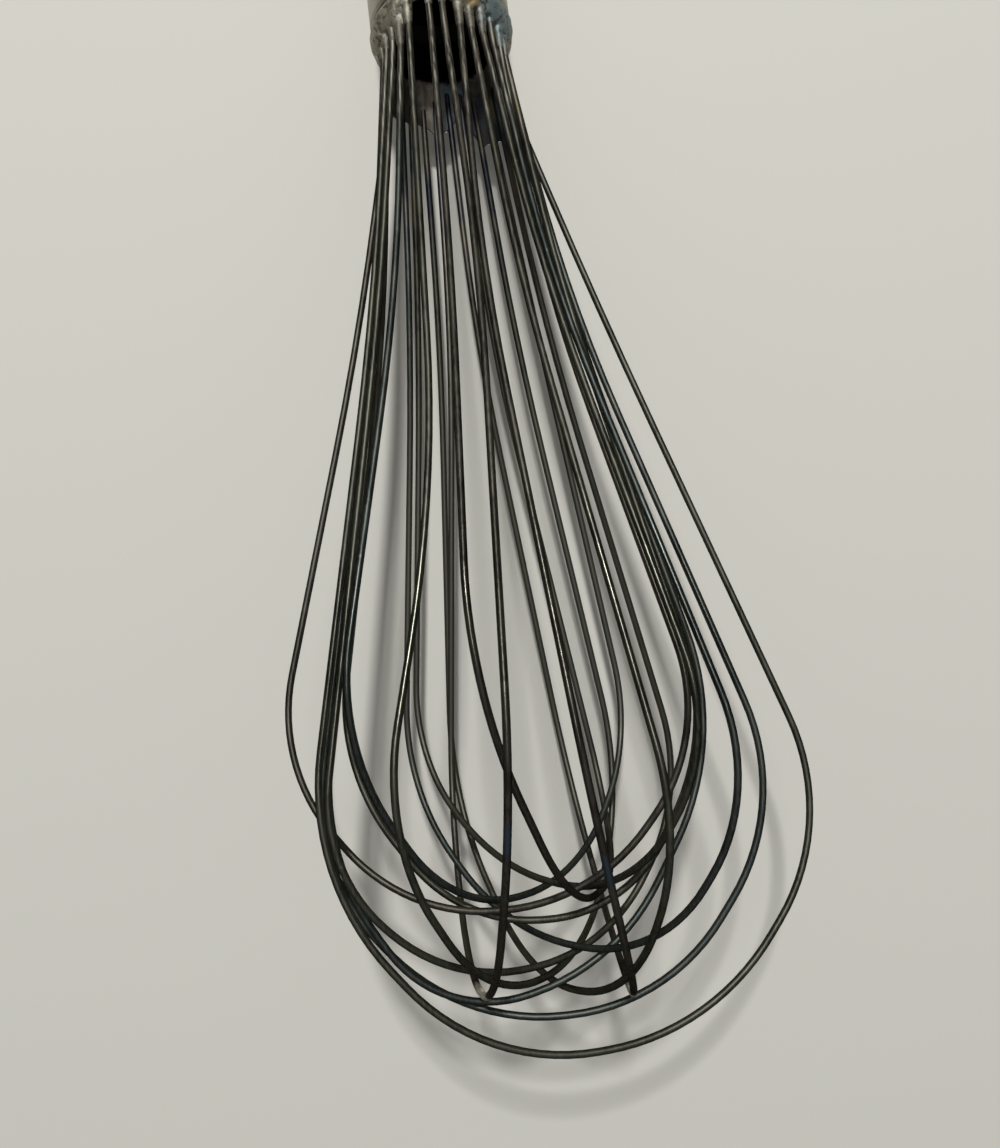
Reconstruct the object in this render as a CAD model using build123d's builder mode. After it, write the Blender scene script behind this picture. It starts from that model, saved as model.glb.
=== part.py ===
"""Wire whip for a kitchen mixer: a turned hub with fourteen bent wire loops soldered into its lower end.

Millimetres. +Z points up along the hub's axis and the origin is in the middle of the mouth of the drive bore,
so the whip hangs below the origin as it hangs from the mixer. +X is to the right and +Y to the back.
"""
import os
from math import atan2, cos, degrees, radians, sin, tan

from build123d import *

# Hub: a sleeve with a blind drive bore above a web and an open recess for the wires below it
hub_diameter = 33.0
hub_wall = 1.0
bore_diameter = 13.0
bore_depth = 19.0
web_thickness = 3.0
recess_depth = 12.0
top_chamfer = 1.2
rim_chamfer = 0.5

# Bayonet slot for the cross pin of the mixer's shaft, at the back of the hub
slot_width = 5.2
slot_depth = 12.0
slot_turn = 25.0

# Wires: the legs stand in a ring in the recess, run straight out of the solder and then flare
wire_diameter = 1.5
wire_seat = 6.0
flare_run = 3.0

# Cage: its reach from the axis and its drop below the rim. The necks, where the legs bow in, and each leg and loop
# take their own percentages of these two sizes.
cage_reach = 50.0
cage_drop = 200.0
neck_level = 35.5
low_neck_level = 58.0

# Solder: a film between the wires and the recess wall, and a bead below the rim that is drawn down each wire
solder_film = 0.35
solder_inside = 0.25
solder_fit = 0.02
bead_bulge = 0.5
bead_shoulder = 3.2
bead_height = 7.0
notch_rise = 1.6

# Shares: how a leg bows in at its neck, how far out a loop's lower corners are, how much of a run stays straight
# between its two bends, and how much of the gap between two legs a notch in the bead takes
neck_share = 0.26
corner_share = 0.42
straight_share = 0.04
notch_share = 0.7

hub_radius = hub_diameter / 2
bore_radius = bore_diameter / 2
recess_radius = hub_radius - hub_wall
wire_radius = wire_diameter / 2
seat_radius = recess_radius - solder_film - wire_radius
solder_radius = seat_radius - wire_radius - solder_inside
rim = -(bore_depth + web_thickness + recess_depth)


def place(right, back, drop):
    """A point of the cage, in percent of its reach to the right and to the back and of its drop below the rim."""
    return right * cage_reach / 100, back * cage_reach / 100, rim - drop * cage_drop / 100


def leg(turn, right, back, drop, neck_right=0.0, neck=neck_level):
    """Points of one leg, from its end in the hub to its shoulder, by its place in the ring and its shoulder's.

    The place in the ring is given in degrees, turned round from the right. A neck can bow to the right too.
    """
    x = seat_radius * cos(radians(turn))
    y = seat_radius * sin(radians(turn))
    shoulder = place(right, back, drop)
    bow, _, neck_height = place(neck_right, 0, neck)
    share = neck_share * neck / neck_level
    return [
        (x, y, rim + wire_seat),
        (x, y, rim - bead_height - flare_run),
        (x + share * (shoulder[0] - x) + bow, y + share * (shoulder[1] - y), neck_height),
        shoulder,
    ]


def loop(first, second, right, back, drop, lift=0.0):
    """Points of a whole loop: down one leg, along the lowest stretch, whose first side is lifted, and up."""
    corners = []
    for (x, y, _), side in ((first[-1], lift), (second[-1], -lift)):
        across, along, height = place(right, back, drop - side)
        corners.append((across + corner_share * (x - across), along + corner_share * (y - along), height))
    return first + corners + second[::-1]


def bend_radii(points):
    """The largest bend that the runs beside each point leave room for; the flares keep their own run."""
    radii = []
    for before, here, after in zip(points, points[1:], points[2:]):
        arriving = Vector(here) - Vector(before)
        leaving = Vector(after) - Vector(here)
        run = (1 - straight_share) / 2 * min(arriving.length, leaving.length)
        if here in (points[1], points[-2]):
            run = flare_run
        radii.append(run / tan(radians(arriving.get_angle(leaving)) / 2))
    return radii


# The loops are bent by hand and no two are alike. Both legs are given by their place in the ring and their
# shoulder, and then the loop's lowest stretch by its middle.
wire_loops = [
    loop(leg(273, -8, -92, 89.5, 5), leg(103, -37, 70, 91, 3), -33, -6, 108.3),
    loop(leg(287, 20, -81, 90.2, -6.5), leg(90, 23, 88, 90, -5), 40, -6, 110),
    loop(leg(297, 51, -72, 94, -3), leg(116, -37, 80, 91, 2), 14, -4, 109.8, 0.6),
    loop(leg(309, 71, -56, 85.8, -1), leg(129, -52, 70, 85), 10, 4, 99.4, -1),
    loop(leg(321, 86, -50, 91, -5), leg(141, -58, 66, 88.5, 1), 14, 8, 106, -1),
    loop(leg(334, 75, -24, 85.5, -6), leg(157, -109, 12, 84, -5), -18, -6, 100.8),
    loop(leg(347, 79, -16, 85.5, -1), leg(168, -81, 8, 85, 1), 0, -4, 102.3, -0.2),
    loop(leg(0, 107, -8, 93.5, -6), leg(180, -94, 0, 95.5, 1), 4, 0, 112),
    loop(leg(13, 90, 16, 86.5), leg(193, -87, -16, 93.5), -14, 0, 109.6, 1.6),
    loop(leg(26, 132, 12, 96.5, 5), leg(206, -92, -24, 95), 16, -6, 115.5),
    loop(leg(39, 74, 44, 92, -2), leg(219, -84, -36, 94, -1), -6, 4, 107.3),
    loop(leg(51, 55, 68, 85.5, 3), leg(230, -72, -48, 82.5, 1), -8, 10, 100.3),
    loop(leg(64, 48, 74, 90.5, -2), leg(240, -56, -66, 91, 8.5, low_neck_level), -2, 4, 108.5),
    loop(leg(77, 38, 72, 92, -7), leg(261, -18, -84, 79, 0.5), 32, -4, 100.4),
]
leg_seats = [end[:2] for points in wire_loops for end in (points[0], points[-1])]
leg_turns = sorted(degrees(atan2(y, x)) % 360 for x, y in leg_seats)
leg_gaps = list(zip(leg_turns, leg_turns[1:] + [leg_turns[0] + 360]))

os.makedirs("parts", exist_ok=True)

# Hub
with BuildPart() as hub:
    with BuildSketch(Plane.XZ) as hub_half:
        with BuildLine():
            Polyline(
                (0, -bore_depth),
                (bore_radius, -bore_depth),
                (bore_radius, 0),
                (hub_radius - top_chamfer, 0),
                (hub_radius, -top_chamfer),
                (hub_radius, rim + rim_chamfer),
                (hub_radius - rim_chamfer, rim),
                (recess_radius, rim),
                (recess_radius, rim + recess_depth),
                (0, rim + recess_depth),
                close=True,
            )
        make_face()
    revolve(axis=Axis.Z)
    with BuildSketch(Plane.XY) as slot_entry:
        Rectangle(slot_width, 2 * hub_radius, align=(Align.CENTER, Align.MIN))
    extrude(amount=-slot_depth, mode=Mode.SUBTRACT)
    with BuildSketch(Plane.XY.offset(-slot_depth)) as slot_end:
        for turn in (0, slot_turn):
            Rectangle(slot_width, 2 * hub_radius, rotation=turn, align=(Align.CENTER, Align.MIN))
        make_hull()
    extrude(amount=slot_width, mode=Mode.SUBTRACT)
hub.part.label = "hub"
export_step(hub.part, "parts/hub.step")

# Solder bead, notched between the legs where it is drawn down along them
with BuildPart() as solder_bead:
    with BuildSketch(Plane.XZ) as bead_half:
        with BuildLine():
            Polyline(
                (hub_radius + bead_bulge, rim - bead_shoulder),
                (recess_radius, rim - bead_height),
                (solder_radius, rim - bead_height),
                (solder_radius, rim + wire_seat),
                (recess_radius - solder_fit, rim + wire_seat),
                (recess_radius - solder_fit, rim),
                (hub_radius - rim_chamfer, rim),
            )
            RadiusArc(
                (hub_radius - rim_chamfer, rim),
                (hub_radius + bead_bulge, rim - bead_shoulder),
                bead_shoulder,
            )
        make_face()
    revolve(axis=Axis.Z)
    with BuildSketch(Plane.XY.offset(rim + wire_seat)) as leg_holes:
        with Locations(*leg_seats):
            Circle(wire_radius + solder_fit)
    extrude(amount=-(wire_seat + bead_height), mode=Mode.SUBTRACT)
    for turn, next_turn in leg_gaps:
        apart = 2 * seat_radius * sin(radians(next_turn - turn) / 2)
        middle = radians(turn + next_turn) / 2
        facing = Plane(
            origin=(0, 0, rim - bead_height),
            x_dir=(0, 0, 1),
            z_dir=(cos(middle), sin(middle), 0),
        )
        with BuildSketch(facing) as notch:
            SlotCenterToCenter(2 * notch_rise, notch_share * (apart - wire_diameter))
        extrude(amount=2 * hub_radius, mode=Mode.SUBTRACT)
solder_bead.part.label = "solder_bead"
export_step(solder_bead.part, "parts/solder_bead.step")

# Wire loops
for number, points in enumerate(wire_loops, 1):
    with BuildPart() as wire_loop:
        with BuildLine() as bent_wire:
            FilletPolyline(*points, radius=bend_radii(points))
        with BuildSketch(Plane(origin=points[0], z_dir=bent_wire.line % 0)) as wire_section:
            Circle(wire_radius)
        sweep()
    wire_loop.part.label = f"wire_loop_{number:02d}"
    export_step(wire_loop.part, f"parts/{wire_loop.part.label}.step")
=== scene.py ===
"""Looks of a mixer's wire whip: dark drawn wires, lumpy tarnished solder and a dull turned hub.

Metres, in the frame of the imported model: +Z up along the hub's axis, origin in the mouth of the drive bore.
"""
import math
import random

import bmesh
import bpy
from mathutils import Euler, Matrix, Vector, noise


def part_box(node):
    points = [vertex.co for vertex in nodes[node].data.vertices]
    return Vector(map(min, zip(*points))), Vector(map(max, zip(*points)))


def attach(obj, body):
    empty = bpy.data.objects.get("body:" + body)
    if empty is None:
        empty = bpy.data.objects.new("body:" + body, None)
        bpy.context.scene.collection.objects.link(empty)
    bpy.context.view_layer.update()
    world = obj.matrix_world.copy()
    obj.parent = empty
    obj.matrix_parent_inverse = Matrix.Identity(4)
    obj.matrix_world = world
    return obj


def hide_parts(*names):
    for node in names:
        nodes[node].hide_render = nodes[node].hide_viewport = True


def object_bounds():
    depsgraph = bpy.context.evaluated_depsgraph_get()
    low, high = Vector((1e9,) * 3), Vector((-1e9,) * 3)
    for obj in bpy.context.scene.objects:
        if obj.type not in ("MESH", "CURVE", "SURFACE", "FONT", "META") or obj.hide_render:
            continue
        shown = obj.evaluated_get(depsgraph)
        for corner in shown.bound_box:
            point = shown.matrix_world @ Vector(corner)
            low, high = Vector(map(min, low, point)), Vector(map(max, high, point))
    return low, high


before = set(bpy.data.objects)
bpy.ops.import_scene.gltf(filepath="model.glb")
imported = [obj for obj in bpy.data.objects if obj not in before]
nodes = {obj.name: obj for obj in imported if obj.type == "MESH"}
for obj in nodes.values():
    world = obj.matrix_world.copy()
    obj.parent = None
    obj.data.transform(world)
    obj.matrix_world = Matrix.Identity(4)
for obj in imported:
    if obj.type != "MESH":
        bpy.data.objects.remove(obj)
cad_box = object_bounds()
loop_names = sorted(name for name in nodes if name.startswith("wire_loop_"))
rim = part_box("hub")[0].z

MILLIMETRE = 0.001

# Camera: straight above the whip as it lies, turned a little to one side
CAMERA_PLACE = Vector((-0.00426, -0.21596, -0.19733))
CAMERA_HEADING = math.radians(-0.95)
CAMERA_PITCH = math.radians(8.29)
CAMERA_ROLL = math.radians(-6.55)
CAMERA_LENS = 31.36
CAMERA_SENSOR = 36.0
CAMERA_NEAR = 0.01

# Floor and light: a lamp and a weak broad one above, both tilted to the hub, and one behind the whip.
# The sky grows paler between two rises above the floor.
FLOOR_SIDE = 6.0
FLOOR_GAP = 0.0002
FLOOR_COLOUR = (0.560, 0.548, 0.495)
LAMP_DISTANCE = 1.6
LAMP_TILT = math.radians(31.0)
LAMP_DIAMETER = 0.14
LAMP_POWER = 20.5
FILL_LAMP_TILT = math.radians(14.0)
FILL_LAMP_DIAMETER = 0.3
FILL_LAMP_POWER = 3.0
BACK_LAMP_DIAMETER = 0.6
BACK_LAMP_POWER = 20.0
SKY_LOW = (0.07, 0.07, 0.07)
SKY_HIGH = (0.36, 0.36, 0.36)
SKY_LOW_RISE = 0.05
SKY_HIGH_RISE = 0.75

# Solder ring: it hangs a usual way below the rim, and much less over a bare stretch in front, given in
# degrees. A wave of its lower edge is its size in millimetres, its count round the ring and its start.
RING_STEPS = 96
RING_HANG = 6.4 * MILLIMETRE
RING_WAVES = ((0.6, 3, 40), (0.4, 8, 0))
BARE_HANG = 2.4 * MILLIMETRE
BARE_MIDDLE = 259.0
BARE_HALF = 24.0
BARE_EDGE = 8.0

# Section of the ring: its seat by radius and height in millimetres, and its belly by radius in millimetres
# and share of the hang
RING_SEAT = ((13.0, 5.0), (15.3, 5.0), (15.3, -0.35), (16.3, -0.75))
RING_BELLY = (
    (16.85, 0.38),
    (16.85, 0.55),
    (16.4, 0.80),
    (15.4, 0.97),
    (14.3, 1.0),
    (13.2, 0.94),
    (12.95, 0.6),
)

# Legs near the hub: measured in the ring, where they are straight, and below the flare's start, where they
# lean out. The two legs of a loop are further apart than the last value.
LEG_LOOK = 0.8 * RING_HANG
FLARE_START = 10.0 * MILLIMETRE
FLARE_LOOK = 20.0 * MILLIMETRE
LEG_APART = 4 * MILLIMETRE

# Fingers down the legs: their top is a share of the hang, and their reach below the ring and their widths
# are in millimetres
FINGER_TOP = 0.5
FINGER_DRAWN = (1.2, 6.0)
FINGER_WIDE = (1.1, 1.7)
FINGER_SLIM = 0.82
FINGER_SIDES = 14

# Webs between the legs at the back, by their turns round the axis: longer up to one turn, shorter after it.
# Their top is a share of the hang, and their sag is in millimetres.
WEB_FIRST = 28.0
WEB_TURN = 76.0
WEB_LAST = 158.0
WEB_TOP = 0.6
WEB_LONG = 23.0 * MILLIMETRE
WEB_SHORT = 19.5 * MILLIMETRE
WEB_SPREAD = 2.5 * MILLIMETRE
WEB_SAG = (0.5, 3.0)
WEB_THICK = 0.8 * MILLIMETRE
WEB_THIN = 0.5 * MILLIMETRE
WEB_COLUMNS = 6
WEB_ROWS = 5

# Lumps on the ring, flattened and tall. Small ones come at even turns, with their radius and size in
# millimetres and their level as a share of the hang. Large ones have a turn, and in millimetres a radius,
# a drop below the rim and a size.
LUMP_FLAT = 0.6
LUMP_TALL = 1.2
SMALL_LUMP_STEP = 15
SMALL_LUMP_RADIUS = (15.2, 15.9)
SMALL_LUMP_LEVEL = (0.25, 0.75)
SMALL_LUMP_SIZE = (0.8, 1.4)
LARGE_LUMPS = (
    (186, 15.6, 3.4, 1.7),
    (203, 15.8, 4.2, 1.5),
    (219, 15.6, 3.0, 1.7),
    (233, 15.4, 3.6, 1.2),
    (300, 15.4, 4.2, 1.5),
    (316, 15.4, 3.6, 2.0),
    (334, 15.5, 3.2, 2.2),
    (352, 15.5, 3.6, 2.0),
    (12, 15.7, 3.8, 1.6),
    (62, 15.8, 3.4, 1.6),
    (101, 15.8, 3.8, 1.5),
    (148, 15.7, 3.2, 1.8),
)

# Skin of the solder: how it is melted, and its grains by scale and share of a depth in millimetres
SOLDER_SEED = 11
SKIN_VOXEL = 0.24 * MILLIMETRE
SKIN_FLOW = 0.5
SKIN_PASSES = 3
SKIN_GRAINS = ((420.0, 1.0), (1100.0, 0.4))
SKIN_DEPTH = 0.16

# Wires: the plain, patched and worn tone of each finish, and the loops that have the two rarer finishes
OLIVE_TONES = ((0.058, 0.059, 0.046), (0.030, 0.031, 0.025), (0.104, 0.103, 0.080))
BROWN_TONES = ((0.061, 0.057, 0.047), (0.031, 0.029, 0.024), (0.100, 0.091, 0.074))
SLATE_TONES = ((0.050, 0.056, 0.050), (0.026, 0.031, 0.029), (0.084, 0.092, 0.081))
BROWN_LOOPS = ("wire_loop_01", "wire_loop_02", "wire_loop_06", "wire_loop_14")
SLATE_LOOPS = ("wire_loop_05", "wire_loop_08", "wire_loop_09", "wire_loop_12")
WIRE_ROUGHNESS = (0.40, 0.56)
RUBBED_ROUGHNESS = 0.24
STREAKS_SHARE = 0.45
PALER_BOTTOM_SHARE = 0.2

# Wide marks: the wires are tinned near the hub, with pale streaks that are partly painted highlight, and they
# are paler at the back and at the bottom. Heat has coloured the wires and the solder at the back of the neck.
TINNED = {"Place": (0.0, -0.004, rim - 0.004), "Reach": 0.040, "Waver": 0.03, "Grain": 260.0}
PALER_BACK = {"Place": (0.0, 0.050, -0.160), "Reach": 0.075, "Waver": 0.03, "Grain": 90.0}
PALER_BOTTOM = {"Place": (0.0, 0.0, -0.250), "Reach": 0.070, "Waver": 0.03, "Grain": 90.0}
HEATED_WIRE = {"Place": (0.001, 0.0165, rim - 0.025), "Reach": 0.034, "Waver": 0.04, "Grain": 110.0}
HEATED_SOLDER = {"Place": (0.001, 0.0150, rim - 0.015), "Reach": 0.017, "Waver": 0.006}

# Colours of the wires' marks
STREAK_DARK = (0.062, 0.059, 0.047)
# Pale streaks near the hub: partly tin, partly painted highlight
PALE_TIN_AND_PAINTED_HIGHLIGHT = (0.210, 0.197, 0.160)
# Paler tone for the wires at the back
BACK_PALE_TONE = (0.096, 0.092, 0.076)
SPOT_BLUE = (0.050, 0.066, 0.082)
# Painted highlight at the ends of two wires
END_PAINTED_HIGHLIGHT = (0.60, 0.58, 0.50)

# Colours of the solder, and the painted shade inside it and the hub
SOLDER_GREY = (0.29, 0.275, 0.218)
SOLDER_BRIGHT = (0.42, 0.40, 0.33)
SOLDER_LOW = (0.140, 0.130, 0.102)
FLUX_BROWN = (0.15, 0.132, 0.090)
PIT_DARK = (0.085, 0.085, 0.072)
TARNISH = (0.190, 0.235, 0.245)
BRASS = (0.34, 0.255, 0.14)
# Heat tints; brown, teal, violet and olive are lifted as painted light in the shadow the ring casts on the
# back of the neck
HEAT_BROWN_PAINTED_LIGHT = (0.240, 0.208, 0.166)
HEAT_TEAL_PAINTED_LIGHT = (0.105, 0.150, 0.175)
HEAT_VIOLET_PAINTED_LIGHT = (0.165, 0.145, 0.185)
HEAT_INDIGO = (0.032, 0.039, 0.058)
HEAT_OLIVE_PAINTED_LIGHT = (0.150, 0.135, 0.062)
# Painted shade on the lower ends of the webs
WEB_END_PAINTED_SHADE = (0.030, 0.030, 0.031)
# Painted shade for the hollow inside the ring and the hub, and its roughness
INNER_PAINTED_SHADE = (0.004, 0.004, 0.003)
INNER_SHADE_ROUGHNESS = 0.9

# Colours of the hub
HUB_STEEL = (0.34, 0.325, 0.265)
HUB_STAIN = (0.22, 0.205, 0.16)
HUB_RINGS = (0.44, 0.42, 0.35)
HUB_EDGE = (0.52, 0.50, 0.43)

# Marks, each at its place and with its reach: where the wires are rubbed, two blue spots and two painted
# highlights at wire ends, the tarnish and the brassy spot on the solder, and the tints of heat at the back of
# the neck, most of them lifted as painted light in the shadow there.
# The edge of a mark wavers by a share of its reach.
MARK_WAVER = 0.6
RUBBED = (
    ((0.002, -0.036, -0.186), 0.046),
    ((0.034, -0.012, -0.182), 0.030),
    ((-0.036, -0.012, -0.186), 0.030),
)
BLUE_SPOTS = (((-0.0053, -0.0404, -0.2174), 0.004), ((0.0117, -0.0337, -0.2254), 0.004))
# Painted highlights at the ends of two wires
PAINTED_HIGHLIGHT_ENDS = (((-0.0140, -0.0085, -0.2503), 0.009), ((0.0170, -0.0065, -0.2535), 0.009))
TARNISHED = (((0.0145, -0.0085, rim - 0.0028), 0.0105),)
BRASSY = (((0.0075, -0.0140, rim - 0.0045), 0.0022),)
HEAT_TINTS_AND_PAINTED_LIGHT = (
    (HEAT_BROWN_PAINTED_LIGHT, (-0.0048, 0.0145, -0.0425), 0.0066),
    (HEAT_TEAL_PAINTED_LIGHT, (0.0012, 0.0145, -0.0425), 0.0048),
    (HEAT_TEAL_PAINTED_LIGHT, (0.0062, 0.0140, -0.0500), 0.0050),
    (HEAT_VIOLET_PAINTED_LIGHT, (0.0020, 0.0145, -0.0465), 0.0032),
    (HEAT_INDIGO, (0.0088, 0.0125, -0.0480), 0.0055),
    (HEAT_OLIVE_PAINTED_LIGHT, (0.0120, 0.0100, -0.0500), 0.0050),
)

# Pairs of heights between which one colour goes over to another; the lower ends of the webs go over to
# painted shade
RING_TO_LEGS = (rim - 0.0052, rim - 0.0080)
WEBS_TO_SHADED_ENDS = (rim - 0.0140, rim - 0.0200)
BORE_TO_RECESS = (rim + 0.0130, rim + 0.0122)
SIDE_TO_TOP = (-0.0030, -0.0012)


def new_node(tree, kind, inputs=None, **settings):
    """A shader node with its settings and the values of its inputs."""
    node = tree.nodes.new(kind)
    for name, value in settings.items():
        setattr(node, name, value)
    for name, value in (inputs or {}).items():
        node.inputs[name].default_value = value
    return node


def join(tree, *pairs):
    """Links each pair of an output and an input."""
    for source, target in pairs:
        tree.links.new(source, target)


def new_group(name, inputs, outputs):
    """An empty shader node group with its named sockets, and its two end nodes."""
    group = bpy.data.node_groups.new(name, "ShaderNodeTree")
    for socket, value in inputs.items():
        kind = "NodeSocketVector" if isinstance(value, tuple) else "NodeSocketFloat"
        made = group.interface.new_socket(socket, in_out="INPUT", socket_type=kind)
        made.default_value = value
    for socket, kind in outputs.items():
        group.interface.new_socket(socket, in_out="OUTPUT", socket_type="NodeSocket" + kind)
    return group, group.nodes.new("NodeGroupInput"), group.nodes.new("NodeGroupOutput")


def place_group(tree, group, **inputs):
    """A group in a material, with its own values."""
    node = tree.nodes.new("ShaderNodeGroup")
    node.node_tree = group
    for name, value in inputs.items():
        node.inputs[name.replace("_", " ")].default_value = value
    return node


def ramp(tree, stops):
    """A colour ramp through stops of place and colour."""
    node = tree.nodes.new("ShaderNodeValToRGB")
    elements = node.color_ramp.elements
    while len(elements) < len(stops):
        elements.new(0.5)
    for element, (place, colour) in zip(elements, stops):
        element.position = place
        element.color = (*colour, 1.0)
    return node


def patches_group():
    """Soft patches: a mask that is 1 on about Cover of the surface, in patches of about 1 / Scale metres."""
    group, given, result = new_group(
        "Patches",
        {"Scale": 200.0, "Cover": 0.5, "Softness": 0.1},
        {"Mask": "Float"},
    )
    place = new_node(group, "ShaderNodeTexCoord")
    cloud = new_node(group, "ShaderNodeTexNoise", {"Detail": 4.0, "Roughness": 0.6})
    edge = new_node(group, "ShaderNodeMath", {0: 1.0}, operation="SUBTRACT")
    low = new_node(group, "ShaderNodeMath", operation="SUBTRACT")
    high = new_node(group, "ShaderNodeMath", operation="ADD")
    step = new_node(group, "ShaderNodeMapRange", interpolation_type="SMOOTHSTEP")
    join(
        group,
        (place.outputs["Object"], cloud.inputs["Vector"]),
        (given.outputs["Scale"], cloud.inputs["Scale"]),
        (given.outputs["Cover"], edge.inputs[1]),
        (edge.outputs[0], low.inputs[0]),
        (given.outputs["Softness"], low.inputs[1]),
        (edge.outputs[0], high.inputs[0]),
        (given.outputs["Softness"], high.inputs[1]),
        (cloud.outputs["Fac"], step.inputs["Value"]),
        (low.outputs[0], step.inputs["From Min"]),
        (high.outputs[0], step.inputs["From Max"]),
        (step.outputs["Result"], result.inputs["Mask"]),
    )
    return group


def drawn_lines_group():
    """Fine lines with a few pits: along the whip, as drawing leaves them, or another way by Stretch."""
    group, given, result = new_group(
        "Drawn lines",
        {"Line Scale": 2500.0, "Pit Scale": 900.0, "Stretch": (1.0, 1.0, 0.04)},
        {"Height": "Float", "Lines": "Float"},
    )
    place = new_node(group, "ShaderNodeTexCoord")
    along = new_node(group, "ShaderNodeMapping")
    lines = new_node(group, "ShaderNodeTexNoise", {"Detail": 3.0})
    pits = new_node(group, "ShaderNodeTexNoise", {"Detail": 5.0, "Roughness": 0.65})
    both = new_node(group, "ShaderNodeMix", {"Factor": 0.45}, data_type="FLOAT")
    join(
        group,
        (place.outputs["Object"], along.inputs["Vector"]),
        (given.outputs["Stretch"], along.inputs["Scale"]),
        (along.outputs["Vector"], lines.inputs["Vector"]),
        (given.outputs["Line Scale"], lines.inputs["Scale"]),
        (place.outputs["Object"], pits.inputs["Vector"]),
        (given.outputs["Pit Scale"], pits.inputs["Scale"]),
        (lines.outputs["Fac"], both.inputs["A"]),
        (pits.outputs["Fac"], both.inputs["B"]),
        (both.outputs["Result"], result.inputs["Height"]),
        (lines.outputs["Fac"], result.inputs["Lines"]),
    )
    return group


def stain_group():
    """A stain with a ragged edge: a mask that is 1 at Place and fades out at Reach metres from it."""
    group, given, result = new_group(
        "Stain",
        {"Place": (0.0, 0.0, 0.0), "Reach": 0.004, "Waver": 0.004, "Grain": 300.0},
        {"Mask": "Float"},
    )
    place = new_node(group, "ShaderNodeTexCoord")
    cloud = new_node(group, "ShaderNodeTexNoise", {"Detail": 3.0})
    centred = new_node(group, "ShaderNodeVectorMath", {1: (0.5, 0.5, 0.5)}, operation="SUBTRACT")
    spread = new_node(group, "ShaderNodeVectorMath", operation="SCALE")
    moved = new_node(group, "ShaderNodeVectorMath", operation="ADD")
    away = new_node(group, "ShaderNodeVectorMath", operation="DISTANCE")
    share = new_node(group, "ShaderNodeMath", operation="DIVIDE")
    edge = new_node(
        group,
        "ShaderNodeMapRange",
        {"From Min": 1.0, "From Max": 0.45},
        interpolation_type="SMOOTHSTEP",
    )
    join(
        group,
        (place.outputs["Object"], cloud.inputs["Vector"]),
        (given.outputs["Grain"], cloud.inputs["Scale"]),
        (cloud.outputs["Color"], centred.inputs[0]),
        (centred.outputs["Vector"], spread.inputs[0]),
        (given.outputs["Waver"], spread.inputs["Scale"]),
        (place.outputs["Object"], moved.inputs[0]),
        (spread.outputs["Vector"], moved.inputs[1]),
        (moved.outputs["Vector"], away.inputs[0]),
        (given.outputs["Place"], away.inputs[1]),
        (away.outputs["Value"], share.inputs[0]),
        (given.outputs["Reach"], share.inputs[1]),
        (share.outputs[0], edge.inputs["Value"]),
        (edge.outputs["Result"], result.inputs["Mask"]),
    )
    return group


def temper_group():
    """Temper colours of heated steel, from slate blue and dark over grey to brown and straw, in streaks."""
    group, given, result = new_group("Temper colours", {"Scale": 170.0}, {"Tint": "Color"})
    place = new_node(group, "ShaderNodeTexCoord")
    along = new_node(group, "ShaderNodeMapping", {"Scale": (1.0, 1.0, 0.35)})
    cloud = new_node(group, "ShaderNodeTexNoise", {"Detail": 2.0})
    tints = ramp(group, [
        (0.30, (0.050, 0.062, 0.066)),
        (0.42, (0.028, 0.031, 0.037)),
        (0.50, (0.062, 0.059, 0.062)),
        (0.58, (0.105, 0.093, 0.076)),
        (0.70, (0.092, 0.086, 0.052)),
    ])
    join(
        group,
        (place.outputs["Object"], along.inputs["Vector"]),
        (along.outputs["Vector"], cloud.inputs["Vector"]),
        (given.outputs["Scale"], cloud.inputs["Scale"]),
        (cloud.outputs["Fac"], tints.inputs["Fac"]),
        (tints.outputs["Color"], result.inputs["Tint"]),
    )
    return group


def inside_group():
    """The inside of the hub and the solder: a mask that is 1 within Radius of the axis and above Height."""
    group, given, result = new_group("Inside", {"Radius": 0.0137, "Height": -0.04}, {"Mask": "Float"})
    place = new_node(group, "ShaderNodeTexCoord")
    cloud = new_node(group, "ShaderNodeTexNoise", {"Scale": 500.0, "Detail": 2.0})
    waver = new_node(group, "ShaderNodeMath", {1: 0.003, 2: -0.0015}, operation="MULTIPLY_ADD")
    axes = new_node(group, "ShaderNodeSeparateXYZ")
    flat = new_node(group, "ShaderNodeCombineXYZ")
    radius = new_node(group, "ShaderNodeVectorMath", operation="LENGTH")
    within = new_node(group, "ShaderNodeMath", operation="SUBTRACT")
    inward = new_node(group, "ShaderNodeMapRange", {"From Min": 0.0, "From Max": 0.0005})
    raised = new_node(group, "ShaderNodeMath", operation="SUBTRACT")
    wavered = new_node(group, "ShaderNodeMath", operation="ADD")
    above = new_node(group, "ShaderNodeMapRange", {"From Min": -0.0006, "From Max": 0.0006})
    both = new_node(group, "ShaderNodeMath", operation="MULTIPLY")
    join(
        group,
        (place.outputs["Object"], cloud.inputs["Vector"]),
        (place.outputs["Object"], axes.inputs["Vector"]),
        (axes.outputs["X"], flat.inputs["X"]),
        (axes.outputs["Y"], flat.inputs["Y"]),
        (flat.outputs["Vector"], radius.inputs[0]),
        (given.outputs["Radius"], within.inputs[0]),
        (radius.outputs["Value"], within.inputs[1]),
        (within.outputs[0], inward.inputs["Value"]),
        (axes.outputs["Z"], raised.inputs[0]),
        (given.outputs["Height"], raised.inputs[1]),
        (cloud.outputs["Fac"], waver.inputs[0]),
        (raised.outputs[0], wavered.inputs[0]),
        (waver.outputs[0], wavered.inputs[1]),
        (wavered.outputs[0], above.inputs["Value"]),
        (inward.outputs["Result"], both.inputs[0]),
        (above.outputs["Result"], both.inputs[1]),
        (both.outputs[0], result.inputs["Mask"]),
    )
    return group


PATCHES = patches_group()
LINES = drawn_lines_group()
STAIN = stain_group()
TEMPER = temper_group()
INSIDE = inside_group()


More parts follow.
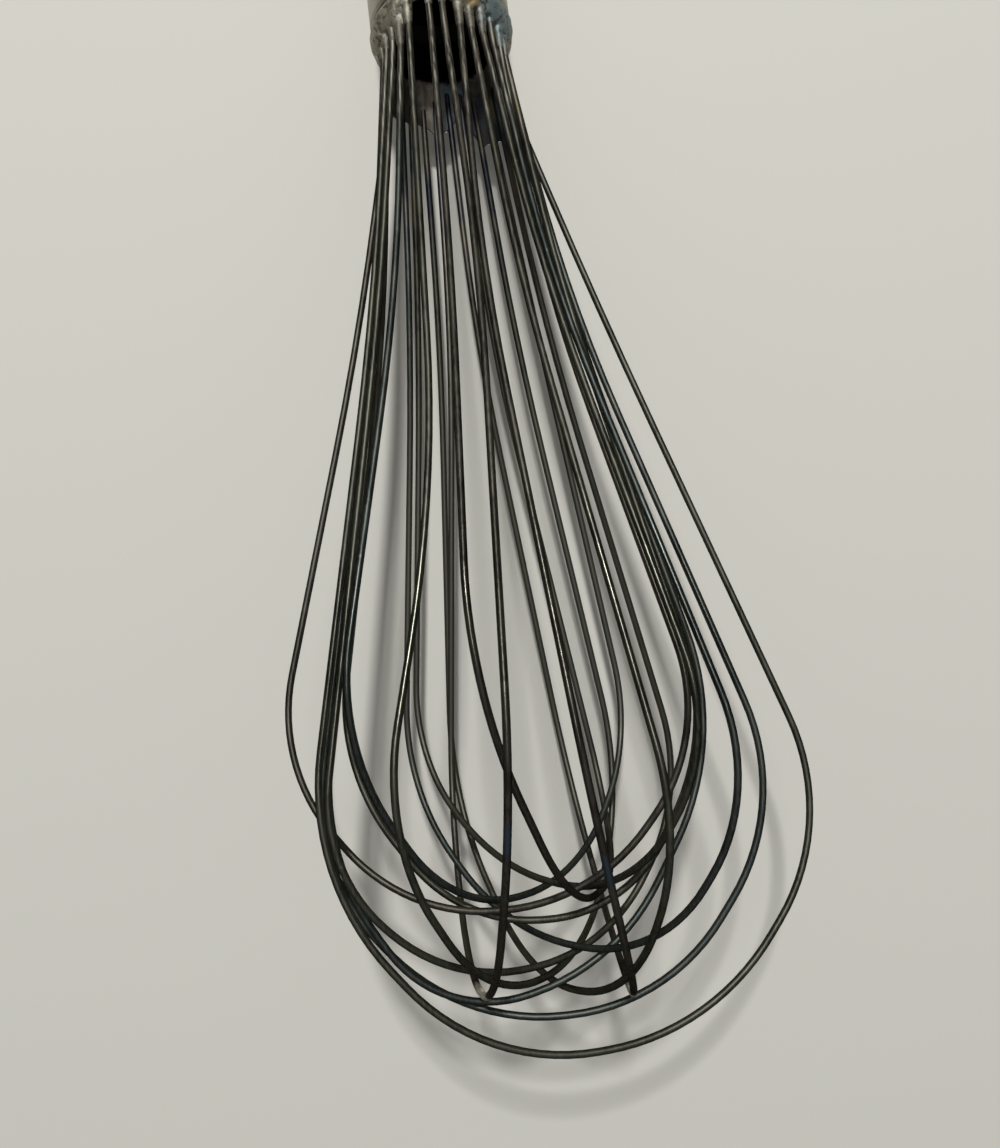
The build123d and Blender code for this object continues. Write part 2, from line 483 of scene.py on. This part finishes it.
def new_material(name, **constants):
    """A material with its Principled shader, whose constants are set on the shader itself."""
    material = bpy.data.materials.new(name)
    material.use_nodes = True
    tree = material.node_tree
    shader = tree.nodes["Principled BSDF"]
    for socket, value in constants.items():
        shader.inputs[socket.replace("_", " ")].default_value = value
    return material, tree, shader


def blend_colour(tree, factor, first, second):
    """A mix of two colours, each a plain one or an output, by a mask."""
    mix = new_node(tree, "ShaderNodeMix", data_type="RGBA")
    tree.links.new(factor, mix.inputs["Factor"])
    for socket, colour in (("A", first), ("B", second)):
        target = next(s for s in mix.inputs if s.name == socket and s.type == "RGBA")
        if isinstance(colour, tuple):
            target.default_value = (*colour, 1.0)
        else:
            tree.links.new(colour, target)
    return next(s for s in mix.outputs if s.type == "RGBA")


def span(tree, value, low, high, start=0.0, end=1.0):
    """A value between start and end, spread from low to high."""
    limits = {"From Min": start, "From Max": end, "To Min": low, "To Max": high}
    node = new_node(tree, "ShaderNodeMapRange", limits)
    tree.links.new(value, node.inputs["Value"])
    return node.outputs["Result"]


def overlap(tree, first, second):
    """Where two masks overlap."""
    node = new_node(tree, "ShaderNodeMath", operation="MULTIPLY")
    join(tree, (first, node.inputs[0]), (second, node.inputs[1]))
    return node.outputs[0]


def fade(tree, factor, value, end):
    """A value that goes over to an end value by a mask."""
    mix = new_node(tree, "ShaderNodeMix", {"B": end}, data_type="FLOAT")
    join(tree, (factor, mix.inputs["Factor"]), (value, mix.inputs["A"]))
    return mix.outputs["Result"]


def stained(tree, colour, places, stain_colour):
    """A colour with a stain at each place, as wide as its reach."""
    for place, reach in places:
        stain = place_group(tree, STAIN, Place=place, Reach=reach, Waver=MARK_WAVER * reach)
        colour = blend_colour(tree, stain.outputs["Mask"], colour, stain_colour)
    return colour


def by_height(tree, start, end):
    """A mask that grows from 0 at one height to 1 at another."""
    place = new_node(tree, "ShaderNodeTexCoord")
    axes = new_node(tree, "ShaderNodeSeparateXYZ")
    step = new_node(tree, "ShaderNodeMapRange", {"From Min": start, "From Max": end})
    join(
        tree,
        (place.outputs["Object"], axes.inputs["Vector"]),
        (axes.outputs["Z"], step.inputs["Value"]),
    )
    return step.outputs["Result"]


def bumped(tree, shader, height, depth):
    """Bump of a depth in metres on the shader's normal."""
    bump = new_node(tree, "ShaderNodeBump", {"Strength": 0.8, "Distance": depth})
    join(tree, (height, bump.inputs["Height"]), (bump.outputs["Normal"], shader.inputs["Normal"]))


def wire_finish(name, tones, blue_spots=(), highlight_ends=()):
    """Dark drawn steel: its plain tone, patches of another and worn spots.

    It is rubbed smooth in front and at the sides. Near the hub it is tinned and greyer, with pale streaks
    that are partly painted highlight, and with temper colours at the back.
    Some wires have blue spots, and painted highlights at their ends.
    """
    plain, patched, worn = tones
    material, tree, shader = new_material(name, Metallic=1.0, Specular_Tint=(0.0, 0.0, 0.0, 1.0))
    patches = place_group(tree, PATCHES, Scale=90.0, Cover=0.5, Softness=0.12)
    spots = place_group(tree, PATCHES, Scale=260.0, Cover=0.30, Softness=0.06)
    lines = place_group(tree, LINES)
    tinned = place_group(tree, STAIN, **TINNED)
    paler_back = place_group(tree, STAIN, **PALER_BACK)
    paler_bottom = place_group(tree, STAIN, **PALER_BOTTOM)
    heated = place_group(tree, STAIN, **HEATED_WIRE)
    temper = place_group(tree, TEMPER)
    streaks = span(tree, lines.outputs["Lines"], 0.0, 1.0, start=0.42, end=0.62)
    tin_and_painted_streaks = blend_colour(tree, streaks, STREAK_DARK, PALE_TIN_AND_PAINTED_HIGHLIGHT)
    colour = blend_colour(tree, patches.outputs["Mask"], plain, patched)
    colour = blend_colour(tree, spots.outputs["Mask"], colour, worn)
    colour = blend_colour(tree, span(tree, streaks, 0.0, STREAKS_SHARE), colour, worn)
    # Paler towards the bottom
    colour = blend_colour(tree, span(tree, paler_bottom.outputs["Mask"], 0.0, PALER_BOTTOM_SHARE), colour, worn)
    # Tinned near the hub, with pale streaks that are partly painted highlight
    colour = blend_colour(tree, tinned.outputs["Mask"], colour, tin_and_painted_streaks)
    # Paler at the back
    colour = blend_colour(tree, paler_back.outputs["Mask"], colour, BACK_PALE_TONE)
    colour = blend_colour(tree, heated.outputs["Mask"], colour, temper.outputs["Tint"])
    colour = stained(tree, colour, blue_spots, SPOT_BLUE)
    # Painted highlights at the ends of some wires
    colour = stained(tree, colour, highlight_ends, END_PAINTED_HIGHLIGHT)
    tree.links.new(colour, shader.inputs["Base Color"])
    rough = span(tree, lines.outputs["Lines"], *WIRE_ROUGHNESS)
    for place, reach in RUBBED:
        rubbed = place_group(tree, STAIN, Place=place, Reach=reach, Waver=0.012, Grain=120.0)
        rough = fade(tree, rubbed.outputs["Mask"], rough, RUBBED_ROUGHNESS)
    tree.links.new(rough, shader.inputs["Roughness"])
    bumped(tree, shader, lines.outputs["Height"], depth=0.03 * MILLIMETRE)
    return material


def solder_finish():
    """Dull solder with brown flux, a blue-green tarnish on the right, a brassy spot and painted shade inside.

    At the back of the neck it has tints of heat, most of them lifted as painted light in the shadow there,
    and the lower ends of its webs are darkened with painted shade.
    """
    material, tree, shader = new_material("tarnished_solder")
    flux = place_group(tree, PATCHES, Scale=420.0, Cover=0.44, Softness=0.08)
    bright = place_group(tree, PATCHES, Scale=900.0, Cover=0.38, Softness=0.06)
    pits = place_group(tree, PATCHES, Scale=900.0, Cover=0.42, Softness=0.04)
    lines = place_group(tree, LINES, Line_Scale=1400.0, Pit_Scale=1500.0)
    heated = place_group(tree, STAIN, **HEATED_SOLDER)
    temper = place_group(tree, TEMPER)
    # Painted shade on the inside of the ring, within the recess
    inner_shade = place_group(tree, INSIDE, Radius=0.0139, Height=rim - 0.0055)
    colour = blend_colour(tree, flux.outputs["Mask"], SOLDER_GREY, FLUX_BROWN)
    colour = blend_colour(tree, bright.outputs["Mask"], colour, SOLDER_BRIGHT)
    colour = blend_colour(tree, by_height(tree, *RING_TO_LEGS), colour, SOLDER_LOW)
    colour = stained(tree, colour, TARNISHED, TARNISH)
    colour = blend_colour(tree, pits.outputs["Mask"], colour, PIT_DARK)
    colour = stained(tree, colour, BRASSY, BRASS)
    colour = blend_colour(tree, heated.outputs["Mask"], colour, temper.outputs["Tint"])
    # Heat tints, most of them lifted as painted light in the ring's shadow
    for tint, place, reach in HEAT_TINTS_AND_PAINTED_LIGHT:
        colour = stained(tree, colour, ((place, reach),), tint)
    # Painted shade: the lower ends of the webs are darkened
    colour = blend_colour(tree, by_height(tree, *WEBS_TO_SHADED_ENDS), colour, WEB_END_PAINTED_SHADE)
    colour = blend_colour(tree, inner_shade.outputs["Mask"], colour, INNER_PAINTED_SHADE)
    tree.links.new(colour, shader.inputs["Base Color"])
    dull = span(tree, bright.outputs["Mask"], low=0.62, high=0.48)
    tree.links.new(fade(tree, inner_shade.outputs["Mask"], dull, INNER_SHADE_ROUGHNESS), shader.inputs["Roughness"])
    metal = span(tree, heated.outputs["Mask"], low=0.9, high=0.3)
    tree.links.new(fade(tree, inner_shade.outputs["Mask"], metal, end=1.0), shader.inputs["Metallic"])
    bumped(tree, shader, lines.outputs["Height"], depth=0.10 * MILLIMETRE)
    return material


def hub_finish():
    """Dull steel with the rings of turning, stains and a worn top edge, with painted shade in the recess."""
    material, tree, shader = new_material("turned_hub", Metallic=0.9)
    stains = place_group(tree, PATCHES, Scale=180.0, Cover=0.45, Softness=0.14)
    chips = place_group(tree, PATCHES, Scale=500.0, Cover=0.52, Softness=0.10)
    lines = place_group(tree, LINES, Line_Scale=1800.0, Pit_Scale=1200.0, Stretch=(0.04, 0.04, 1.0))
    # Painted shade in the hub's recess
    inner_shade = place_group(tree, INSIDE, Radius=0.0158, Height=rim - 0.002)
    recess = overlap(tree, inner_shade.outputs["Mask"], by_height(tree, *BORE_TO_RECESS))
    edge = overlap(tree, chips.outputs["Mask"], by_height(tree, *SIDE_TO_TOP))
    rings = span(tree, lines.outputs["Lines"], low=0.0, high=0.5, start=0.40, end=0.64)
    base = blend_colour(tree, stains.outputs["Mask"], HUB_STEEL, HUB_STAIN)
    base = blend_colour(tree, rings, base, HUB_RINGS)
    base = blend_colour(tree, edge, base, HUB_EDGE)
    tree.links.new(blend_colour(tree, recess, base, INNER_PAINTED_SHADE), shader.inputs["Base Color"])
    dull = span(tree, lines.outputs["Lines"], low=0.35, high=0.6)
    tree.links.new(fade(tree, recess, dull, INNER_SHADE_ROUGHNESS), shader.inputs["Roughness"])
    bumped(tree, shader, lines.outputs["Height"], depth=0.05 * MILLIMETRE)
    return material


def floor_finish():
    """Plain pale floor, which isn't there when seen from behind and lets the back lamp through."""
    material, tree, shader = new_material("pale_floor", Roughness=0.9, Base_Color=(*FLOOR_COLOUR, 1.0))
    clear = new_node(tree, "ShaderNodeBsdfTransparent")
    side = new_node(tree, "ShaderNodeNewGeometry")
    ray = new_node(tree, "ShaderNodeLightPath")
    either = new_node(tree, "ShaderNodeMath", operation="MAXIMUM")
    mix = new_node(tree, "ShaderNodeMixShader")
    join(
        tree,
        (side.outputs["Backfacing"], either.inputs[0]),
        (ray.outputs["Is Shadow Ray"], either.inputs[1]),
        (either.outputs[0], mix.inputs["Fac"]),
        (shader.outputs["BSDF"], mix.inputs[1]),
        (clear.outputs["BSDF"], mix.inputs[2]),
        (mix.outputs["Shader"], tree.nodes["Material Output"].inputs["Surface"]),
    )
    return material


def dress(piece, material):
    """Gives a piece one material."""
    piece.data.materials.clear()
    piece.data.materials.append(material)


def leg_middles(height):
    """Middle of each leg at a height, in order round the axis."""
    middles = []
    for name in loop_names:
        cut = bmesh.new()
        cut.from_mesh(nodes[name].data)
        everything = cut.verts[:] + cut.edges[:] + cut.faces[:]
        made = bmesh.ops.bisect_plane(cut, geom=everything, plane_co=(0, 0, height), plane_no=(0, 0, 1))
        points = [item.co.copy() for item in made["geom_cut"] if isinstance(item, bmesh.types.BMVert)]
        cut.free()
        first = points[0]
        for near in (True, False):
            side = [p for p in points if ((p - first).length < LEG_APART) == near]
            middles.append(sum(side, Vector()) / len(side))
    return sorted(middles, key=lambda p: math.atan2(p.y, p.x))


leg_seats = list(zip(leg_middles(rim - LEG_LOOK), leg_middles(rim - FLARE_LOOK)))


def leg_point(number, height):
    """Middle of a leg at a height near the hub: straight to where the flare starts, and then leaning out."""
    straight, leaning = leg_seats[number]
    share = (rim - FLARE_START - height) / (FLARE_LOOK - FLARE_START)
    place = straight.lerp(leaning, max(share, 0.0))
    return Vector((place.x, place.y, height))


def turn_of(point):
    """Turn of a point round the axis, in degrees from the right."""
    return math.degrees(math.atan2(point.y, point.x)) % 360


def hang(turn):
    """How far the solder hangs below the rim at a turn: little in front, where the legs are bare."""
    apart = abs((turn - BARE_MIDDLE + 180) % 360 - 180)
    bare = min(max((BARE_HALF + BARE_EDGE - apart) / (2 * BARE_EDGE), 0.0), 1.0)
    bare = bare * bare * (3 - 2 * bare)
    wave = sum(size * math.sin(math.radians(count * turn + start)) for size, count, start in RING_WAVES)
    return (RING_HANG + wave * MILLIMETRE) * (1 - bare) + BARE_HANG * bare


def add_ring(shape):
    """The solder's ring, from inside the recess to its rounded lower edge."""
    rings = []
    for step in range(RING_STEPS):
        turn = 360 * step / RING_STEPS
        low = hang(turn)
        profile = [(r, height * MILLIMETRE) for r, height in RING_SEAT]
        profile += [(r, -share * low) for r, share in RING_BELLY]
        across = math.cos(math.radians(turn))
        along = math.sin(math.radians(turn))
        rings.append([
            shape.verts.new((r * MILLIMETRE * across, r * MILLIMETRE * along, rim + z)) for r, z in profile
        ])
    for first, second in zip(rings, rings[1:] + rings[:1]):
        for here in range(len(first)):
            after = (here + 1) % len(first)
            shape.faces.new((first[here], first[after], second[after], second[here]))


def add_finger(shape, top, bottom, wide, slim):
    """Solder drawn down along a leg."""
    way = bottom - top
    facing = way.to_track_quat("Z", "Y").to_matrix().to_4x4()
    bmesh.ops.create_cone(
        shape,
        cap_ends=True,
        segments=FINGER_SIDES,
        radius1=wide,
        radius2=slim,
        depth=way.length,
        matrix=Matrix.Translation((top + bottom) / 2) @ facing,
    )


def add_web(shape, first, second, top, ends, sag):
    """A thin web of solder between two legs, with an end on each of them and drawn up between them."""
    sides = ([], [])
    for column in range(WEB_COLUMNS + 1):
        across = column / WEB_COLUMNS
        low = ends[0] + (ends[1] - ends[0]) * across + sag * 4 * across * (1 - across)
        for row in range(WEB_ROWS + 1):
            height = top + (low - top) * row / WEB_ROWS
            middle = leg_point(first, height).lerp(leg_point(second, height), across)
            thick = WEB_THICK + (WEB_THIN - WEB_THICK) * row / WEB_ROWS
            outward = Vector((middle.x, middle.y, 0)).normalized() * thick / 2
            sides[0].append(shape.verts.new(middle - outward))
            sides[1].append(shape.verts.new(middle + outward))
    tall = WEB_ROWS + 1
    for column in range(WEB_COLUMNS):
        for row in range(WEB_ROWS):
            here = column * tall + row
            patch = (here, here + 1, here + 1 + tall, here + tall)
            shape.faces.new([sides[0][i] for i in patch])
            shape.faces.new([sides[1][i] for i in reversed(patch)])
    edge = list(range(tall))
    edge += [column * tall + WEB_ROWS for column in range(1, WEB_COLUMNS + 1)]
    edge += [WEB_COLUMNS * tall + row for row in range(WEB_ROWS - 1, -1, -1)]
    edge += [column * tall for column in range(WEB_COLUMNS - 1, 0, -1)]
    for here, after in zip(edge, edge[1:] + edge[:1]):
        shape.faces.new((sides[0][after], sides[0][here], sides[1][here], sides[1][after]))


def add_fingers_and_webs(shape, chance):
    """A finger down each leg, and webs between the legs at the back."""
    web_ends = []
    for seat, _ in leg_seats:
        reach = WEB_LONG if turn_of(seat) < WEB_TURN else WEB_SHORT
        web_ends.append(rim - reach - chance.uniform(-WEB_SPREAD, WEB_SPREAD))
    for number, (seat, _) in enumerate(leg_seats):
        turn = turn_of(seat)
        low = hang(turn)
        drawn = chance.uniform(*FINGER_DRAWN) * MILLIMETRE
        top = leg_point(number, rim - FINGER_TOP * low)
        bottom = leg_point(number, rim - low - drawn)
        wide = chance.uniform(*FINGER_WIDE) * MILLIMETRE
        add_finger(shape, top, bottom, wide, FINGER_SLIM * MILLIMETRE)
        if WEB_FIRST < turn < WEB_LAST:
            after = (number + 1) % len(leg_seats)
            ends = (web_ends[number], web_ends[after])
            sag = chance.uniform(*WEB_SAG) * MILLIMETRE
            add_web(shape, number, after, rim - WEB_TOP * low, ends, sag)


def add_lump(shape, turn, radius, below_rim, size):
    """A rounded lump on the ring, flattened towards the axis."""
    out = Matrix.Rotation(math.radians(turn), 3, "Z") @ Vector((radius, 0, 0)) * MILLIMETRE
    place = Matrix.Translation(out + Vector((0, 0, rim - below_rim)))
    facing = Matrix.Rotation(math.radians(turn), 4, "Z")
    stretch = Matrix.Diagonal((LUMP_FLAT * size, size, LUMP_TALL * size, 1.0))
    bmesh.ops.create_icosphere(shape, subdivisions=3, radius=1.0, matrix=place @ facing @ stretch)


def add_lumps(shape, chance):
    """Small lumps all round the ring, and large ones at their own places."""
    for turn in range(0, 360, SMALL_LUMP_STEP):
        radius = chance.uniform(*SMALL_LUMP_RADIUS)
        below_rim = chance.uniform(*SMALL_LUMP_LEVEL) * hang(turn)
        add_lump(shape, turn, radius, below_rim, chance.uniform(*SMALL_LUMP_SIZE) * MILLIMETRE)
    for turn, radius, below_rim, size in LARGE_LUMPS:
        add_lump(shape, turn, radius, below_rim * MILLIMETRE, size * MILLIMETRE)


def melted(shape):
    """The mesh of one smooth skin round all that the shape holds."""
    raw = bpy.data.meshes.new("solder_raw")
    shape.to_mesh(raw)
    lump = bpy.data.objects.new("solder_raw", raw)
    bpy.context.scene.collection.objects.link(lump)
    melt = lump.modifiers.new("melt", "REMESH")
    melt.mode = "VOXEL"
    melt.voxel_size = SKIN_VOXEL
    flow = lump.modifiers.new("flow", "SMOOTH")
    flow.factor = SKIN_FLOW
    flow.iterations = SKIN_PASSES
    ready = lump.evaluated_get(bpy.context.evaluated_depsgraph_get())
    skin = bpy.data.meshes.new_from_object(ready)
    bpy.data.objects.remove(lump)
    bpy.data.meshes.remove(raw)
    skin.name = "solder"
    return skin


def roughen(skin):
    """Moves the skin's points in and out by its grains."""
    moves = []
    for vertex in skin.vertices:
        rough = sum(share * noise.noise(vertex.co * scale) for scale, share in SKIN_GRAINS)
        moves.append(vertex.normal * rough * SKIN_DEPTH * MILLIMETRE)
    for vertex, move in zip(skin.vertices, moves):
        vertex.co += move


def build_solder():
    """The lumpy solder: its ring, fingers, webs and lumps, melted into one skin."""
    chance = random.Random(SOLDER_SEED)
    shape = bmesh.new()
    add_ring(shape)
    add_fingers_and_webs(shape, chance)
    add_lumps(shape, chance)
    bmesh.ops.recalc_face_normals(shape, faces=shape.faces)
    skin = melted(shape)
    shape.free()
    roughen(skin)
    skin.polygons.foreach_set("use_smooth", [True] * len(skin.polygons))
    solder = bpy.data.objects.new("solder", skin)
    bpy.context.scene.collection.objects.link(solder)
    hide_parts("solder_bead")
    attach(solder, "root")
    return solder


def add_camera(turn):
    """The camera at its place, turned to the whip."""
    scene = bpy.context.scene
    camera = bpy.data.objects.new("camera", bpy.data.cameras.new("camera"))
    camera.data.lens = CAMERA_LENS
    camera.data.sensor_width = CAMERA_SENSOR
    camera.data.clip_start = CAMERA_NEAR
    camera.matrix_world = Matrix.Translation(CAMERA_PLACE) @ turn.to_4x4()
    scene.collection.objects.link(camera)
    scene.camera = camera


def add_floor(turn, towards):
    """The floor, square to the camera's view, just under the furthest point of the whip."""
    lowest = min(towards.dot(v.co) for node in nodes.values() for v in node.data.vertices)
    plate = bpy.data.meshes.new("floor")
    shape = bmesh.new()
    bmesh.ops.create_grid(shape, x_segments=1, y_segments=1, size=FLOOR_SIDE / 2)
    shape.to_mesh(plate)
    shape.free()
    plate.materials.append(floor_finish())
    floor = bpy.data.objects.new("floor", plate)
    floor.matrix_world = Matrix.Translation(towards * (lowest - FLOOR_GAP)) @ turn.to_4x4()
    bpy.context.scene.collection.objects.link(floor)


def add_lamp(name, way, diameter, power):
    """A round lamp that shines on the whip from one way."""
    light = bpy.data.lights.new(name, "AREA")
    light.shape = "DISK"
    light.size = diameter
    light.energy = power
    lamp = bpy.data.objects.new(name, light)
    middle = (cad_box[0] + cad_box[1]) / 2
    facing = way.to_track_quat("Z", "Y").to_matrix().to_4x4()
    lamp.matrix_world = Matrix.Translation(middle + way * LAMP_DISTANCE) @ facing
    lamp.visible_camera = False
    bpy.context.scene.collection.objects.link(lamp)


def soft_sky(towards):
    """A world that is pale above the floor and darker round its edge."""
    world = bpy.data.worlds.new("studio")
    world.use_nodes = True
    tree = world.node_tree
    way = new_node(tree, "ShaderNodeTexCoord")
    rise = new_node(tree, "ShaderNodeVectorMath", {1: tuple(towards)}, operation="DOT_PRODUCT")
    step = new_node(
        tree,
        "ShaderNodeMapRange",
        {"From Min": SKY_LOW_RISE, "From Max": SKY_HIGH_RISE},
        interpolation_type="SMOOTHSTEP",
    )
    colour = blend_colour(tree, step.outputs["Result"], SKY_LOW, SKY_HIGH)
    join(
        tree,
        (way.outputs["Generated"], rise.inputs[0]),
        (rise.outputs["Value"], step.inputs["Value"]),
        (colour, tree.nodes["Background"].inputs["Color"]),
    )
    return world


def set_stage():
    """Camera, floor, two lamps above the whip on the hub's side, one behind it and a soft sky."""
    scene = bpy.context.scene
    scene.view_settings.view_transform = "Standard"
    upright = Euler((math.pi / 2 + CAMERA_PITCH, 0, CAMERA_HEADING)).to_matrix()
    turn = upright @ Matrix.Rotation(CAMERA_ROLL, 3, "Z")
    towards = turn @ Vector((0, 0, 1))
    upward = (Vector((0, 0, 1)) - towards * towards.z).normalized()
    add_camera(turn)
    add_floor(turn, towards)
    for name, tilt, diameter, power in (
        ("lamp", LAMP_TILT, LAMP_DIAMETER, LAMP_POWER),
        ("fill_lamp", FILL_LAMP_TILT, FILL_LAMP_DIAMETER, FILL_LAMP_POWER),
    ):
        add_lamp(name, towards * math.cos(tilt) + upward * math.sin(tilt), diameter, power)
    add_lamp("back_lamp", -towards, BACK_LAMP_DIAMETER, BACK_LAMP_POWER)
    scene.world = soft_sky(towards)


wire_olive = wire_finish("wire_olive", OLIVE_TONES)
wire_brown = wire_finish("wire_brown", BROWN_TONES, BLUE_SPOTS, PAINTED_HIGHLIGHT_ENDS)
wire_slate = wire_finish("wire_slate", SLATE_TONES)
for name in loop_names:
    if name in BROWN_LOOPS:
        dress(nodes[name], wire_brown)
    elif name in SLATE_LOOPS:
        dress(nodes[name], wire_slate)
    else:
        dress(nodes[name], wire_olive)
dress(build_solder(), solder_finish())
dress(nodes["hub"], hub_finish())
set_stage()
